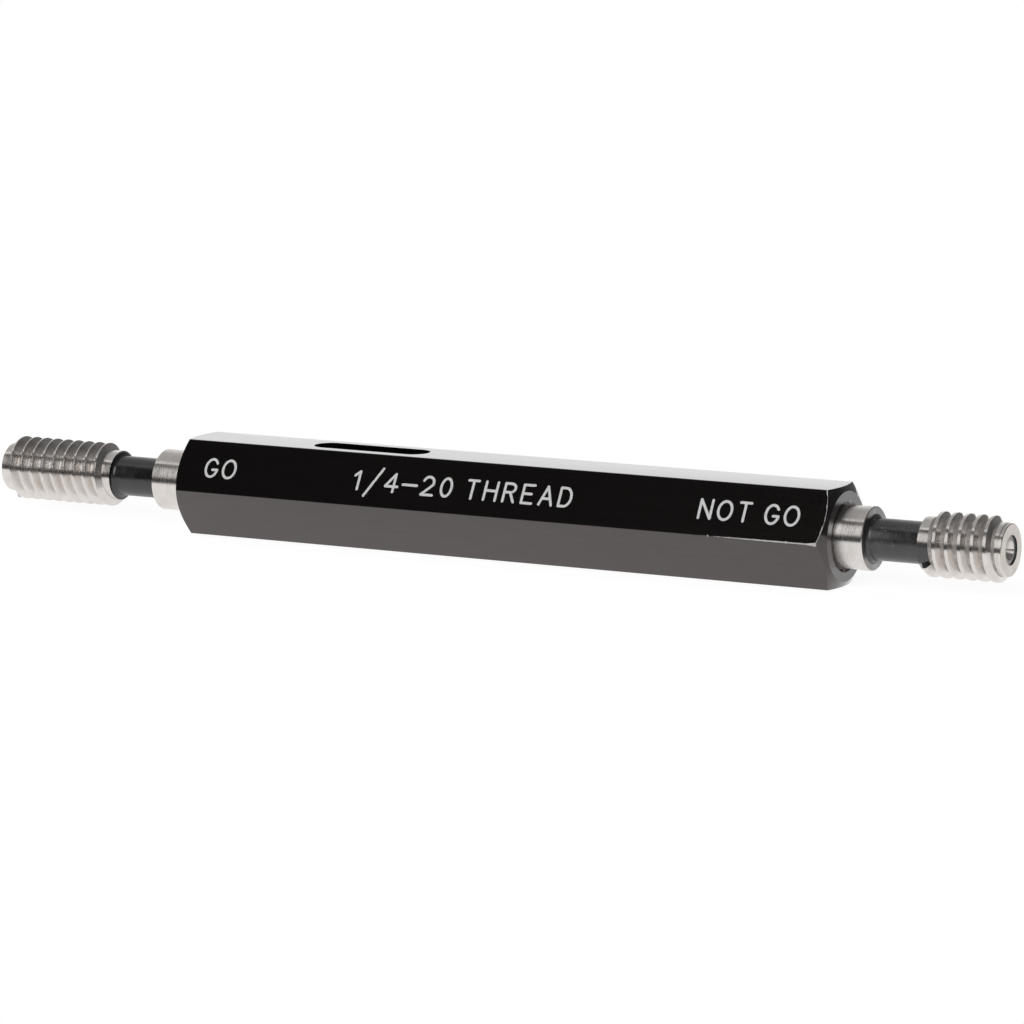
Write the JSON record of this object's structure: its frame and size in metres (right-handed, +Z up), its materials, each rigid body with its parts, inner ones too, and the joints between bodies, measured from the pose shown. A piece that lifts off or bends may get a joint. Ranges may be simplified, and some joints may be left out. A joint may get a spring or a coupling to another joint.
{
  "type": "thread plug gauge",
  "caption": "Double-ended thread plug gauge: black hexagon handle with a steel GO thread plug at one end and a shorter NOT GO thread plug at the other, for checking tapped holes.",
  "frame": {"origin": "under the middle of the overall length, on the surface that the handle's lower flat rests on", "axes": "+X along the gauge towards the NOT GO end, +Z up, square to the flat with the drift slot, +Y towards the back"},
  "size_m": [0.1104, 0.011, 0.0095],
  "materials": {
    "black_anodised": "satin black anodised",
    "ground_steel": "fine ground, with blackened neck"
  },
  "bodies": {
    "root": {"handle": "black_anodised", "go_plug": "ground_steel", "not_go_plug": "ground_steel"}
  },
  "joints": []
}
